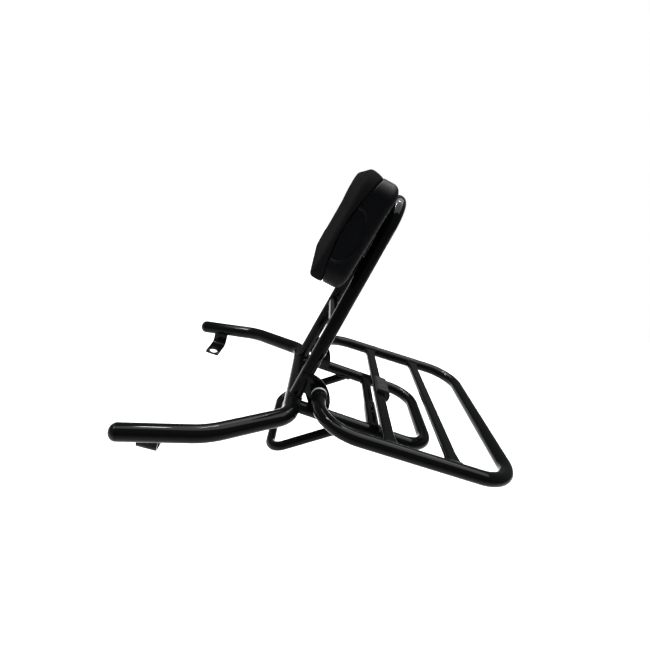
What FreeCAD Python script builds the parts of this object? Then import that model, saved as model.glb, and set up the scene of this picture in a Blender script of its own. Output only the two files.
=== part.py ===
import FreeCAD, Part
import os
from math import cos, radians, sin, sqrt, tan
from FreeCAD import Vector

# Luggage rack with backrest, millimetres. X points to the rear, Y to the right side, Z up.
# The origin lies midway between the two tab holes, on the underside of the mounting tabs.

os.makedirs("parts", exist_ok=True)

# Tube stock
main_tube_d = 20.0
main_tube_wall = 1.6
frame_tube_d = 16.0
frame_tube_wall = 1.5
brace_tube_d = 12.0
brace_tube_wall = 1.5
cross_tube_d = 13.5
cross_tube_wall = 1.5

# Fits
slide_clearance = 0.05
face_clearance = 0.05

# How far a cutting shape runs past the face that it cuts, and the tolerance for picking edges
cut_over = 2.0
pick_tolerance = 0.01
along_axis = 0.9

# Mounting tabs
tab_thickness = 2.5
tab_width = 22.0
tab_hole_d = 13.0
tab_hole_y = 125.8
tab_hole_margin = 2.5
tab_reach = 29.5
tab_rise = 45.0
tab_slope = 7.0
tab_turn = 4.0
tab_bend_inner_r = 6.0
tab_corner_r = 2.5

# Hinge of the folding rack, seen from the tab holes
hinge_x = 166.3
hinge_z = 82.8

# Main bar, seen from the hinge
main_cross_back = -27.8
main_cross_drop = -21.0
main_corner_y = 98.7
main_corner_r = 27.0
arm_bend_back = -106.5
arm_bend_drop = -39.0
arm_bend_y = 150.9
arm_bend_r = 74.0
arm_tip_back = -202.2
arm_tip_drop = -61.4
arm_tip_y = 164.0
arm_cap_dome = 8.4
arm_cap_spigot = 14.0

# Backrest hoop
hoop_lean = 9.9
hoop_foot_y = 62.2
hoop_top_y = 40.8
hoop_height = 257.0
hoop_corner_r = 31.5
backrest_cross_height = 106.6

# Pad, measured along and across the leaning hoop
pad_bottom = 152.8
pad_top = 267.8
pad_half_width = 105.0
pad_middle_height = 215.0
pad_front_low = -57.0
pad_front_middle = -56.0
pad_front_high = -49.5
pad_rear_low = -19.5
pad_rear_high = -15.0
pad_corner_r = 20.0
pad_front_r = 6.0
pad_rear_r = 8.5
seam_bottom = -39.4
seam_middle = -47.6
seam_middle_height = 200.0
seam_top = -34.5
shell_wall = 3.0
recess_depth = 1.2
recess_bottom = 180.6
recess_top = 233.5
recess_rear = -25.8
recess_end = -36.0
recess_corner_r = 4.0
strap_front = -11.0
strap_height = 23.0
strap_thickness = 4.0
strap_low_offset = 25.0
strap_high_offset = 40.0
pad_screw_d = 5.0
pad_screw_head_d = 9.5
pad_screw_head_h = 2.6
pad_screw_y = 25.0
pad_boss_d = 12.0
pad_screw_reach = 14.0

# Support loop and its cross tube
loop_y = 72.0
loop_end_back = 148.0
loop_end_drop = -26.2
loop_corner_r = 33.0
loop_cross_back = 77.0
loop_sleeve_wall = 1.5
loop_sleeve_end_y = 8.4

# Lower bracket
bracket_y = 70.4
bracket_front_back = -36.8
bracket_front_drop = -94.5
bracket_slope = 38.7
bracket_corner_r = 21.0

# Hinge plates and pivot parts
plate_thickness = 4.0
plate_inner_y = 63.0
plate_top_back = -13.1
plate_top_rise = 21.0
plate_mid_back = 8.2
plate_mid_rise = 8.0
plate_foot_back = 16.8
plate_foot_front = -5.6
plate_notch_back = -16.4
plate_notch_drop = -4.7
bolt_d = 8.0
bolt_head_d = 13.0
bolt_head_h = 4.5
bolt_socket_d = 6.0
bolt_socket_depth = 2.6
bolt_reach = 18.0
bush_wall = 1.5
bush_flange_d = 15.0
bush_flange_t = 0.8
washer_d = 18.6
washer_t = 2.4
collar_d = 18.4
collar_length = 10.0
collar_offset = 1.5
plug_length = 22.0

# Folding rack
rack_y = 138.0
rack_end_back = 222.3
rack_front_r = 47.0
rack_rear_r = 41.0
crossbar_width = 13.5
crossbar_height = 8.0
crossbar_corner_r = 3.0
crossbar_wall = 1.5
crossbar_end_width = 16.0
crossbar_end_height = 9.0
crossbar_flare_y = 18.0
front_bar_back = 80.9
rear_bar_back = 153.3

# Rubber buffer on the front crossbar
buffer_half_length = 19.5
buffer_top = 8.5
buffer_front = -5.0
buffer_rear = 14.0
buffer_skirt = -9.0
buffer_round_r = 7.0
buffer_front_r = 2.0
buffer_screw_d = 4.0
buffer_screw_head_d = 7.5
buffer_screw_head_h = 2.4
buffer_screw_y = 11.0
buffer_screw_cover = 1.8


def at_hinge(back, y, rise):
    """A point given from the hinge axis."""
    return Vector(hinge_x + back, y, hinge_z + rise)


def at_loop(back, y):
    """A point on the plane of the support loop."""
    share = (back - main_cross_back) / (loop_end_back - main_cross_back)
    return at_hinge(back, y, main_cross_drop + share * (loop_end_drop - main_cross_drop))


def bent_wire(points, bend_radii):
    """A line through the points, with a tangent arc of its own radius at each inner point."""
    edges = []
    start = points[0]
    for index, radius in enumerate(bend_radii):
        corner = points[index + 1]
        inward = (points[index] - corner).normalize()
        outward = (points[index + 2] - corner).normalize()
        half = inward.getAngle(outward) / 2
        trim = radius / tan(half)
        first = corner + inward * trim
        last = corner + outward * trim
        middle_way = (inward + outward).normalize()
        middle = corner + middle_way * (radius / sin(half) - radius)
        edges.append(Part.LineSegment(start, first).toShape())
        edges.append(Part.Arc(first, middle, last).toShape())
        start = last
    edges.append(Part.LineSegment(start, points[-1]).toShape())
    return Part.Wire(edges)


def swept(points, bend_radii, diameter):
    """A round solid along a bent line."""
    path = bent_wire(points, bend_radii)
    heading = points[1] - points[0]
    ring = Part.Wire(Part.Circle(points[0], heading, diameter / 2).toShape())
    return path.makePipeShell([ring], True, True)


def bent_tube(points, bend_radii, diameter, wall):
    """Outer solid and hollow tube along the same bent line."""
    outer = swept(points, bend_radii, diameter)
    bore = swept(points, bend_radii, diameter - 2 * wall)
    return outer, outer.cut(bore)


def rod(start, end, diameter):
    """A round solid between two points."""
    way = end - start
    return Part.makeCylinder(diameter / 2, way.Length, start, way)


def biggest(shape):
    """The largest solid left after a cut."""
    return sorted(shape.Solids, key=lambda solid: solid.Volume)[-1]


def mirrored(shape):
    """The same piece on the other side."""
    return shape.mirror(Vector(0, 0, 0), Vector(0, 1, 0))


def lean_point(height, depth, y):
    """A point in the leaning hoop: height up the legs, depth behind their axis."""
    angle = radians(hoop_lean)
    back = main_cross_back + height * sin(angle) + depth * cos(angle)
    rise = main_cross_drop + height * cos(angle) - depth * sin(angle)
    return at_hinge(back, y, rise)


def leaned(shape):
    """Carries a shape drawn upright at the world origin into the leaning hoop."""
    moved = shape.copy()
    moved.rotate(Vector(0, 0, 0), Vector(0, 1, 0), hoop_lean)
    moved.translate(at_hinge(main_cross_back, 0, main_cross_drop))
    return moved


def save(shape, name):
    """Writes one node."""
    tidy = shape.removeSplitter()
    tidy.exportStep("parts/" + name + ".step")
    print(name, len(tidy.Solids), tidy.isValid(), round(tidy.Volume))


def leg_spread(height):
    """Half the distance between the hoop legs at a height up the hoop."""
    return hoop_foot_y + (hoop_top_y - hoop_foot_y) * height / hoop_height


# Main bar: two arms and the rear cross piece, one bent tube
left_tip = at_hinge(arm_tip_back, -arm_tip_y, arm_tip_drop)
left_bend = at_hinge(arm_bend_back, -arm_bend_y, arm_bend_drop)
left_corner = at_hinge(main_cross_back, -main_corner_y, main_cross_drop)
right_tip = at_hinge(arm_tip_back, arm_tip_y, arm_tip_drop)
right_bend = at_hinge(arm_bend_back, arm_bend_y, arm_bend_drop)
right_corner = at_hinge(main_cross_back, main_corner_y, main_cross_drop)
arm_way = (left_tip - left_bend).normalize()
left_arm_end = left_tip - arm_way * arm_cap_dome
right_arm_end = Vector(left_arm_end.x, -left_arm_end.y, left_arm_end.z)
main_points = [left_arm_end, left_bend, left_corner, right_corner, right_bend, right_arm_end]
main_radii = [arm_bend_r, main_corner_r, main_corner_r, arm_bend_r]
main_outer, main_bar = bent_tube(main_points, main_radii, main_tube_d, main_tube_wall)
save(main_bar, "main_bar")

# Domed plugs in the arm ends
dome = Part.makeSphere(main_tube_d / 2)
stretch = FreeCAD.Matrix()
stretch.scale(1.0, 1.0, arm_cap_dome / (main_tube_d / 2))
dome = dome.transformGeometry(stretch)
lower_half = Part.makeBox(2 * main_tube_d, 2 * main_tube_d, main_tube_d,
                          Vector(-main_tube_d, -main_tube_d, -main_tube_d))
dome = dome.cut(lower_half)
spigot_r = main_tube_d / 2 - main_tube_wall - slide_clearance
spigot = Part.makeCylinder(spigot_r, arm_cap_spigot, Vector(0, 0, -arm_cap_spigot))
cap = dome.fuse(spigot).removeSplitter()
cap_turn = FreeCAD.Rotation(Vector(0, 0, 1), arm_way)
left_cap = cap.copy()
left_cap.Placement = FreeCAD.Placement(left_arm_end, cap_turn)
save(left_cap, "arm_cap_left")
save(mirrored(left_cap), "arm_cap_right")

# Mounting tabs: bent strips under the arms, drawn round the hole as a side profile, then sloped and turned
wall_out = -tab_reach - tab_thickness / 2
wall_in = -tab_reach + tab_thickness / 2
tab_end = tab_hole_d / 2 + tab_hole_margin
outer_r = tab_bend_inner_r + tab_thickness
diagonal = sqrt(2.0) / 2
bend_y = wall_out + outer_r
bend_z = outer_r
tab_edges = [
    Part.LineSegment(Vector(0, wall_out, tab_rise), Vector(0, wall_out, bend_z)).toShape(),
    Part.Arc(Vector(0, wall_out, bend_z),
             Vector(0, bend_y - outer_r * diagonal, bend_z - outer_r * diagonal),
             Vector(0, bend_y, 0)).toShape(),
    Part.LineSegment(Vector(0, bend_y, 0), Vector(0, tab_end, 0)).toShape(),
    Part.LineSegment(Vector(0, tab_end, 0), Vector(0, tab_end, tab_thickness)).toShape(),
    Part.LineSegment(Vector(0, tab_end, tab_thickness), Vector(0, bend_y, tab_thickness)).toShape(),
    Part.Arc(Vector(0, bend_y, tab_thickness),
             Vector(0, bend_y - tab_bend_inner_r * diagonal, bend_z - tab_bend_inner_r * diagonal),
             Vector(0, wall_in, bend_z)).toShape(),
    Part.LineSegment(Vector(0, wall_in, bend_z), Vector(0, wall_in, tab_rise)).toShape(),
    Part.LineSegment(Vector(0, wall_in, tab_rise), Vector(0, wall_out, tab_rise)).toShape(),
]
tab_face = Part.Face(Part.Wire(tab_edges))
tab = tab_face.extrude(Vector(tab_width, 0, 0))
tab.translate(Vector(-tab_width / 2, 0, 0))
end_edges = []
for edge in tab.Edges:
    spot = edge.CenterOfMass
    upright = abs(edge.tangentAt(edge.FirstParameter).z) > along_axis
    if upright and abs(spot.y - tab_end) < pick_tolerance:
        end_edges.append(edge)
tab = tab.makeFillet(tab_corner_r, end_edges)
tab.rotate(Vector(0, 0, 0), Vector(1, 0, 0), -tab_slope)
tab.rotate(Vector(0, 0, 0), Vector(0, 0, 1), tab_turn)
tab.translate(Vector(0, -tab_hole_y, 0))
tab_hole = rod(Vector(0, -tab_hole_y, -tab_reach), Vector(0, -tab_hole_y, tab_reach), tab_hole_d)
left_tab = sorted(tab.cut(tab_hole).cut(main_outer).Solids, key=lambda solid: solid.BoundBox.ZMin)[0]
save(left_tab, "mounting_tab_left")
save(mirrored(left_tab), "mounting_tab_right")

# Backrest hoop
hoop_points = [lean_point(0, 0, -hoop_foot_y), lean_point(hoop_height, 0, -hoop_top_y),
               lean_point(hoop_height, 0, hoop_top_y), lean_point(0, 0, hoop_foot_y)]
hoop_outer, hoop = bent_tube(hoop_points, [hoop_corner_r, hoop_corner_r], frame_tube_d, frame_tube_wall)
hoop = biggest(hoop.cut(main_outer))
save(hoop, "backrest_hoop")

# Cross tube between the legs under the pad
cross_end = leg_spread(backrest_cross_height)
backrest_cross_outer = rod(lean_point(backrest_cross_height, 0, -cross_end),
                           lean_point(backrest_cross_height, 0, cross_end), cross_tube_d)
backrest_cross_bore = rod(lean_point(backrest_cross_height, 0, -cross_end),
                          lean_point(backrest_cross_height, 0, cross_end), cross_tube_d - 2 * cross_tube_wall)
save(biggest(backrest_cross_outer.cut(backrest_cross_bore).cut(hoop_outer)), "backrest_cross_tube")

# Support loop behind the main bar, falling gently to the rear
loop_points = [at_loop(main_cross_back, -loop_y), at_loop(loop_end_back, -loop_y),
               at_loop(loop_end_back, loop_y), at_loop(main_cross_back, loop_y)]
loop_outer, loop = bent_tube(loop_points, [loop_corner_r, loop_corner_r], frame_tube_d, frame_tube_wall)
loop = biggest(loop.cut(main_outer).cut(hoop_outer))
save(loop, "support_loop")

# Cross tube of the support loop with its sleeve on the left half
loop_cross_left = at_loop(loop_cross_back, -loop_y)
loop_cross_right = at_loop(loop_cross_back, loop_y)
loop_cross_outer = rod(loop_cross_left, loop_cross_right, cross_tube_d)
loop_cross_bore = rod(loop_cross_left, loop_cross_right, cross_tube_d - 2 * cross_tube_wall)
save(biggest(loop_cross_outer.cut(loop_cross_bore).cut(loop_outer)), "loop_cross_tube")
sleeve_end = at_loop(loop_cross_back, -loop_sleeve_end_y)
sleeve = rod(loop_cross_left, sleeve_end, cross_tube_d + 2 * loop_sleeve_wall)
sleeve = sleeve.cut(rod(loop_cross_left, sleeve_end, cross_tube_d)).cut(loop_outer)
save(biggest(sleeve), "loop_sleeve")

# Lower bracket: a thin bent tube hung under the loop legs
bracket_run = (main_cross_drop - bracket_front_drop) / tan(radians(bracket_slope))
bracket_top_back = bracket_front_back + bracket_run
bracket_points = [at_hinge(bracket_top_back, -bracket_y, main_cross_drop),
                  at_hinge(bracket_front_back, -bracket_y, bracket_front_drop),
                  at_hinge(bracket_front_back, bracket_y, bracket_front_drop),
                  at_hinge(bracket_top_back, bracket_y, main_cross_drop)]
bracket_outer, bracket = bent_tube(bracket_points, [bracket_corner_r, bracket_corner_r],
                                   brace_tube_d, brace_tube_wall)
save(biggest(bracket.cut(loop_outer)), "lower_bracket")

# Hinge plates between the hoop legs and the loop legs
foot_drop = main_cross_drop
plate_edges = [
    Part.Arc(at_hinge(plate_top_back, 0, plate_top_rise), at_hinge(plate_mid_back, 0, plate_mid_rise),
             at_hinge(plate_foot_back, 0, foot_drop)).toShape(),
    Part.LineSegment(at_hinge(plate_foot_back, 0, foot_drop),
                     at_hinge(plate_foot_front, 0, foot_drop)).toShape(),
    Part.LineSegment(at_hinge(plate_foot_front, 0, foot_drop),
                     at_hinge(plate_notch_back, 0, plate_notch_drop)).toShape(),
    Part.LineSegment(at_hinge(plate_notch_back, 0, plate_notch_drop),
                     at_hinge(main_cross_back, 0, plate_notch_drop)).toShape(),
    Part.LineSegment(at_hinge(main_cross_back, 0, plate_notch_drop),
                     at_hinge(main_cross_back, 0, plate_top_rise)).toShape(),
    Part.LineSegment(at_hinge(main_cross_back, 0, plate_top_rise),
                     at_hinge(plate_top_back, 0, plate_top_rise)).toShape(),
]
plate = Part.Face(Part.Wire(plate_edges)).extrude(Vector(0, plate_thickness, 0))
plate.translate(Vector(0, -plate_inner_y - plate_thickness, 0))
plate_outer_y = plate_inner_y + plate_thickness
bush_d = bolt_d + 2 * slide_clearance + 2 * bush_wall
plate_hole = rod(at_hinge(0, -plate_outer_y - cut_over, 0), at_hinge(0, -plate_inner_y + cut_over, 0),
                 bush_d)
left_plate = biggest(plate.cut(hoop_outer).cut(loop_outer).cut(plate_hole))
save(left_plate, "hinge_plate_left")
save(mirrored(left_plate), "hinge_plate_right")

# Plain bushes pressed in the plates
bush = rod(at_hinge(0, -plate_outer_y, 0), at_hinge(0, -plate_inner_y, 0), bush_d)
flange = rod(at_hinge(0, -plate_inner_y, 0), at_hinge(0, -plate_inner_y + bush_flange_t, 0), bush_flange_d)
bush_bore = rod(at_hinge(0, -plate_outer_y - cut_over, 0), at_hinge(0, -plate_inner_y + cut_over, 0),
                bolt_d + 2 * slide_clearance)
left_bush = bush.fuse(flange).cut(bush_bore)
save(left_bush, "hinge_bush_left")
save(mirrored(left_bush), "hinge_bush_right")

# Pivot bolts: head inside the plate, shank through the bush into the plug of the rack tube
washer_start = plate_outer_y + face_clearance
tube_end_y = washer_start + washer_t
head_face = plate_inner_y - bush_flange_t - face_clearance
head = rod(at_hinge(0, -head_face, 0), at_hinge(0, -head_face + bolt_head_h, 0), bolt_head_d)
shank = rod(at_hinge(0, -head_face, 0), at_hinge(0, -tube_end_y - bolt_reach, 0), bolt_d)
socket_end = -head_face + bolt_head_h
hexagon_sides = 6
hexagon_turn = radians(360 / hexagon_sides)
socket = Part.makePolygon([
    at_hinge(bolt_socket_d / 2 * cos(step * hexagon_turn), socket_end,
             bolt_socket_d / 2 * sin(step * hexagon_turn)) for step in range(hexagon_sides + 1)])
socket = Part.Face(socket).extrude(Vector(0, -bolt_socket_depth, 0))
left_bolt = head.fuse(shank).cut(socket)
save(left_bolt, "hinge_bolt_left")
save(mirrored(left_bolt), "hinge_bolt_right")

# Steel washers between plates and rack tube ends
washer = rod(at_hinge(0, -washer_start, 0), at_hinge(0, -tube_end_y, 0), washer_d)
washer = washer.cut(rod(at_hinge(0, -washer_start + cut_over, 0), at_hinge(0, -tube_end_y - cut_over, 0),
                        bolt_d))
save(washer, "hinge_washer_left")
save(mirrored(washer), "hinge_washer_right")

# Folding rack frame
rack_points = [at_hinge(0, -tube_end_y, 0), at_hinge(0, -rack_y, 0), at_hinge(rack_end_back, -rack_y, 0),
               at_hinge(rack_end_back, rack_y, 0), at_hinge(0, rack_y, 0), at_hinge(0, tube_end_y, 0)]
rack_radii = [rack_front_r, rack_rear_r, rack_rear_r, rack_front_r]
rack_outer, rack_frame = bent_tube(rack_points, rack_radii, frame_tube_d, frame_tube_wall)
save(rack_frame, "rack_frame")

# Threaded plugs inside the rack tube ends, reaching only along the straight ends
plug_d = frame_tube_d - 2 * frame_tube_wall
plug_reach = min(plug_length, rack_y - rack_front_r - tube_end_y)
plug = rod(at_hinge(0, -tube_end_y, 0), at_hinge(0, -tube_end_y - plug_reach, 0), plug_d)
plug = plug.cut(rod(at_hinge(0, -tube_end_y + cut_over, 0),
                    at_hinge(0, -tube_end_y - plug_reach - cut_over, 0), bolt_d))
save(plug, "rack_end_plug_left")
save(mirrored(plug), "rack_end_plug_right")

# Collars round the rack tube ends
collar_start = tube_end_y + collar_offset
collar = rod(at_hinge(0, -collar_start, 0), at_hinge(0, -collar_start - collar_length, 0), collar_d)
collar = collar.cut(rack_outer)
save(biggest(collar), "hinge_collar_left")
save(mirrored(biggest(collar)), "hinge_collar_right")


def bar_section(back, y, width, height, corner_r):
    """A rounded flat outline across a crossbar."""
    plane = Part.makePlane(width, height, at_hinge(back - width / 2, y, height / 2), Vector(0, 1, 0),
                           Vector(1, 0, 0))
    slab = plane.extrude(Vector(0, 1, 0))
    long_edges = [edge for edge in slab.Edges if abs(edge.tangentAt(edge.FirstParameter).y) > along_axis]
    slab = slab.makeFillet(corner_r, long_edges)
    face = sorted(slab.Faces, key=lambda item: item.CenterOfMass.y)[0]
    return face.OuterWire


def flat_bar(back, inset, corner_r):
    """A flattened section from rail axis to rail axis, wider at both welded ends."""
    flare_start = rack_y - frame_tube_d / 2 - crossbar_flare_y
    wires = []
    for y, width, height in ((-rack_y, crossbar_end_width, crossbar_end_height),
                             (-flare_start, crossbar_width, crossbar_height),
                             (flare_start, crossbar_width, crossbar_height),
                             (rack_y, crossbar_end_width, crossbar_end_height)):
        wires.append(bar_section(back, y, width - 2 * inset, height - 2 * inset, corner_r))
    return Part.makeLoft(wires, True, True)


# Screws that hold the rubber buffer, put in from below the front crossbar
bar_under = -crossbar_height / 2
buffer_screws = []
screw_holes = []
for side in (-1, 1):
    spot_y = side * buffer_screw_y
    screw_end = at_hinge(front_bar_back, spot_y, buffer_top - buffer_screw_cover)
    seat = at_hinge(front_bar_back, spot_y, bar_under - face_clearance)
    head_end = at_hinge(front_bar_back, spot_y, bar_under - face_clearance - buffer_screw_head_h)
    buffer_screws.append(rod(seat, screw_end, buffer_screw_d).fuse(rod(seat, head_end, buffer_screw_head_d)))
    screw_holes.append(rod(seat, screw_end, buffer_screw_d + 2 * slide_clearance))
save(Part.makeCompound(buffer_screws), "buffer_screws")

# Flattened crossbars of the rack
for name, back in (("front", front_bar_back), ("rear", rear_bar_back)):
    skin = flat_bar(back, 0.0, crossbar_corner_r)
    core = flat_bar(back, crossbar_wall, crossbar_corner_r - crossbar_wall)
    bar = skin.cut(core).cut(rack_outer)
    if name == "front":
        front_skin = skin
        for hole in screw_holes:
            bar = bar.cut(hole)
    save(biggest(bar), "rack_crossbar_" + name)

# Rubber buffer over the top and down the rear of the front crossbar
buffer_block = Part.makeBox(buffer_rear - buffer_front, 2 * buffer_half_length, buffer_top - buffer_skirt,
                            at_hinge(front_bar_back + buffer_front, -buffer_half_length, buffer_skirt))
rear_edges = []
for edge in buffer_block.Edges:
    lengthwise = abs(edge.tangentAt(edge.FirstParameter).y) > along_axis
    if lengthwise and edge.CenterOfMass.x > hinge_x + front_bar_back:
        rear_edges.append(edge)
buffer_block = buffer_block.makeFillet(buffer_round_r, rear_edges)
front_edges = []
for edge in buffer_block.Edges:
    lengthwise = abs(edge.tangentAt(edge.FirstParameter).y) > along_axis
    at_front = edge.CenterOfMass.x < hinge_x + front_bar_back + buffer_front + pick_tolerance
    if lengthwise and at_front and edge.CenterOfMass.z > hinge_z:
        front_edges.append(edge)
buffer_block = buffer_block.makeFillet(buffer_front_r, front_edges)
under_bar = Part.makeBox(crossbar_width, 2 * (buffer_half_length + cut_over), -bar_under - buffer_skirt,
                         at_hinge(front_bar_back - crossbar_width / 2, -buffer_half_length - cut_over,
                                  buffer_skirt + bar_under))
buffer_pad = buffer_block.cut(front_skin).cut(under_bar)
for hole in screw_holes:
    buffer_pad = buffer_pad.cut(hole)
save(biggest(buffer_pad), "rack_buffer")


def pad_body(inset):
    """The pad's rounded body in the upright frame, height along Z and depth along X, shrunk by an inset."""
    half = pad_half_width - inset
    low = pad_bottom + inset
    high = pad_top - inset
    front_low = Vector(pad_front_low + inset, -half, low)
    front_high = Vector(pad_front_high + inset, -half, high)
    rear_low = Vector(pad_rear_low - inset, -half, low)
    rear_high = Vector(pad_rear_high - inset, -half, high)
    outline = Part.Wire([
        Part.Arc(front_low, Vector(pad_front_middle + inset, -half, pad_middle_height), front_high).toShape(),
        Part.LineSegment(front_high, rear_high).toShape(),
        Part.LineSegment(rear_high, rear_low).toShape(),
        Part.LineSegment(rear_low, front_low).toShape(),
    ])
    body = Part.Face(outline).extrude(Vector(0, 2 * half, 0))
    prism = Part.makeBox(-2 * pad_front_low, 2 * half, high - low, Vector(2 * pad_front_low, -half, low))
    depth_edges = [edge for edge in prism.Edges if abs(edge.tangentAt(edge.FirstParameter).x) > along_axis]
    body = body.common(prism.makeFillet(pad_corner_r - inset, depth_edges))
    front_face = sorted(body.Faces, key=lambda face: face.CenterOfMass.x)[0]
    body = body.makeFillet(pad_front_r - inset, front_face.Edges)
    rear_face = sorted(body.Faces, key=lambda face: face.CenterOfMass.x)[-1]
    return body.makeFillet(pad_rear_r - inset, rear_face.Edges)


# Pad divided by a curved seam into cushion and shell
pad_block = pad_body(0.0)
seam_line = Part.BSplineCurve()
seam_line.interpolate([Vector(seam_bottom, 0, pad_bottom), Vector(seam_middle, 0, seam_middle_height),
                       Vector(seam_top, 0, pad_top)])
far_front = 2 * pad_front_low
low = pad_bottom - cut_over
high = pad_top + cut_over
front_cut = Part.Wire([
    seam_line.toShape(),
    Part.LineSegment(Vector(seam_top, 0, pad_top), Vector(seam_top, 0, high)).toShape(),
    Part.LineSegment(Vector(seam_top, 0, high), Vector(far_front, 0, high)).toShape(),
    Part.LineSegment(Vector(far_front, 0, high), Vector(far_front, 0, low)).toShape(),
    Part.LineSegment(Vector(far_front, 0, low), Vector(seam_bottom, 0, low)).toShape(),
    Part.LineSegment(Vector(seam_bottom, 0, low), Vector(seam_bottom, 0, pad_bottom)).toShape(),
])
room_half = pad_half_width + cut_over
front_room = Part.Face(front_cut).extrude(Vector(0, 2 * room_half, 0))
front_room.translate(Vector(0, -room_half, 0))
cushion = pad_block.common(front_room)
shell = pad_block.cut(front_room).cut(pad_body(shell_wall))
save(leaned(biggest(cushion)), "pad_cushion")

# Shell: hollow tray with screw bosses out to the straps and a shallow recess in each side
strap_low = pad_bottom + strap_low_offset
strap_high = pad_top - strap_high_offset
screw_spots = [Vector(strap_front, side * pad_screw_y, height)
               for side in (-1, 1) for height in (strap_low, strap_high)]
for spot in screw_spots:
    boss = rod(spot, spot + Vector(-pad_screw_reach - cut_over, 0, 0), pad_boss_d)
    shell = shell.fuse(boss)
for spot in screw_spots:
    shell = shell.cut(rod(spot, spot + Vector(-pad_screw_reach, 0, 0), pad_screw_d))
recess_middle = (recess_top + recess_bottom) / 2
recess_wire = Part.Wire([
    Part.Arc(Vector(recess_end, 0, recess_bottom), Vector(recess_rear, 0, recess_middle),
             Vector(recess_end, 0, recess_top)).toShape(),
    Part.LineSegment(Vector(recess_end, 0, recess_top), Vector(far_front, 0, recess_top)).toShape(),
    Part.LineSegment(Vector(far_front, 0, recess_top), Vector(far_front, 0, recess_bottom)).toShape(),
    Part.LineSegment(Vector(far_front, 0, recess_bottom), Vector(recess_end, 0, recess_bottom)).toShape(),
])
recess = Part.Face(recess_wire).extrude(Vector(0, 2 * recess_depth, 0))
corner_edges = []
for edge in recess.Edges:
    across = edge.BoundBox.YLength > recess_depth
    if across and abs(edge.CenterOfMass.x - recess_end) < pick_tolerance:
        corner_edges.append(edge)
recess = recess.makeFillet(recess_corner_r, corner_edges)
for side in (-1, 1):
    side_recess = recess.copy()
    side_recess.translate(Vector(0, side * pad_half_width - recess_depth, 0))
    shell = shell.cut(side_recess)
save(leaned(biggest(shell)), "pad_shell")

# Straps between the hoop legs, and the screws that hold the shell
for name, height in (("lower", strap_low), ("upper", strap_high)):
    reach = leg_spread(height)
    strap = Part.makeBox(strap_thickness, 2 * reach, strap_height,
                         Vector(strap_front, -reach, height - strap_height / 2))
    for side in (-1, 1):
        hole_start = Vector(strap_front - cut_over, side * pad_screw_y, height)
        hole_end = Vector(strap_front + strap_thickness + cut_over, side * pad_screw_y, height)
        strap = strap.cut(rod(hole_start, hole_end, pad_screw_d + 2 * slide_clearance))
    save(biggest(leaned(strap).cut(hoop_outer)), "pad_strap_" + name)
screws = []
for spot in screw_spots:
    seat = spot + Vector(strap_thickness, 0, 0)
    screw = rod(spot + Vector(-pad_screw_reach, 0, 0), seat, pad_screw_d)
    screw = screw.fuse(rod(seat, seat + Vector(pad_screw_head_h, 0, 0), pad_screw_head_d))
    screws.append(leaned(screw))
save(Part.makeCompound(screws), "pad_screws")
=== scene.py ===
"""Luggage rack with backrest: gloss black tube carrier, padded backrest and a folding rack."""

import math

import bmesh
import bpy
from bpy.props import FloatProperty, FloatVectorProperty, IntProperty
from mathutils import Matrix, Vector, noise


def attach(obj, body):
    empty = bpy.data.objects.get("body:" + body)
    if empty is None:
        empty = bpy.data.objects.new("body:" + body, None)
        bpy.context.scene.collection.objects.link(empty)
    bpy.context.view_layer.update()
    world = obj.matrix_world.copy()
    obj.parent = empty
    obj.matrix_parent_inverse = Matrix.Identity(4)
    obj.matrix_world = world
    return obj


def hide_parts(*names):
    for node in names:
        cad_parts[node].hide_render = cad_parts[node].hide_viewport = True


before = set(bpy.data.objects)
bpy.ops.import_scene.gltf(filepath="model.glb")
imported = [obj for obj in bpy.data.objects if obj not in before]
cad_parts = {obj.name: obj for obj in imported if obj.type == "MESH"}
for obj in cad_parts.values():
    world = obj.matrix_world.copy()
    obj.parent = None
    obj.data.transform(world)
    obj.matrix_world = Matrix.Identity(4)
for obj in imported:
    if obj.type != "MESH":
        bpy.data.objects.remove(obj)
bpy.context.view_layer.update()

bl_info = {
    "name": "Luggage rack with backrest",
    "version": (1, 0, 0),
    "blender": (4, 5, 0),
    "location": "View3D > Sidebar > Rack",
    "description": "Builds the looks of a tubular luggage rack with a padded backrest",
    "category": "Object",
}

MM = 0.001

# Places as the solids have them, lengths in millimetres; the arm's points are back, rise and half distance
HINGE_X, HINGE_Z = 166.3, 82.8
CROSS_BACK, CROSS_DROP = -27.8, -21.0
ARM_TIP, ARM_BEND = (-202.2, -61.4, 164.0), (-106.5, -39.0, 150.9)
LOOP_END_BACK, LOOP_END_DROP = 148.0, -26.2
HOOP_LEAN = math.radians(9.9)
HOOP_FOOT_Y, HOOP_TOP_Y, HOOP_HEIGHT = 62.2, 40.8, 257.0
PLATE_OUTER_Y = 67.0
RACK_Y = 138.0
TUBE_END_Y = 69.45
TAB_REACH, TAB_HOLE_Y, TAB_THICKNESS, TAB_HALF_WIDTH = 29.5, 125.8, 2.5, 11.0
TAB_SLOPE, TAB_TURN = math.radians(7.0), math.radians(4.0)

# How far back the crossbars lie, and half their width and height in the middle and at their flared ends
CROSSBARS = {"front": 80.9, "rear": 153.3}
BAR_MIDDLE, BAR_END, BAR_CORNER = (6.75, 4.0), (8.0, 4.5), 3.0

# The pad in the leaning frame
PAD_LOW, PAD_HIGH, PAD_HALF = 152.8, 267.8, 105.0
PAD_MIDDLE = (PAD_LOW + PAD_HIGH) / 2
PAD_HALF_HIGH = (PAD_HIGH - PAD_LOW) / 2
PAD_CORNER = 20.0
CUSHION_LOW, CUSHION_HIGH, CUSHION_RISE = 152.0, 267.6, 3.2


def linear(code):
    """A hex sRGB colour as linear red, green and blue."""
    parts = [int(code[k:k + 2], 16) / 255 for k in (1, 3, 5)]
    return tuple(p / 12.92 if p <= 0.04045 else ((p + 0.055) / 1.055) ** 2.4 for p in parts)


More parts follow.
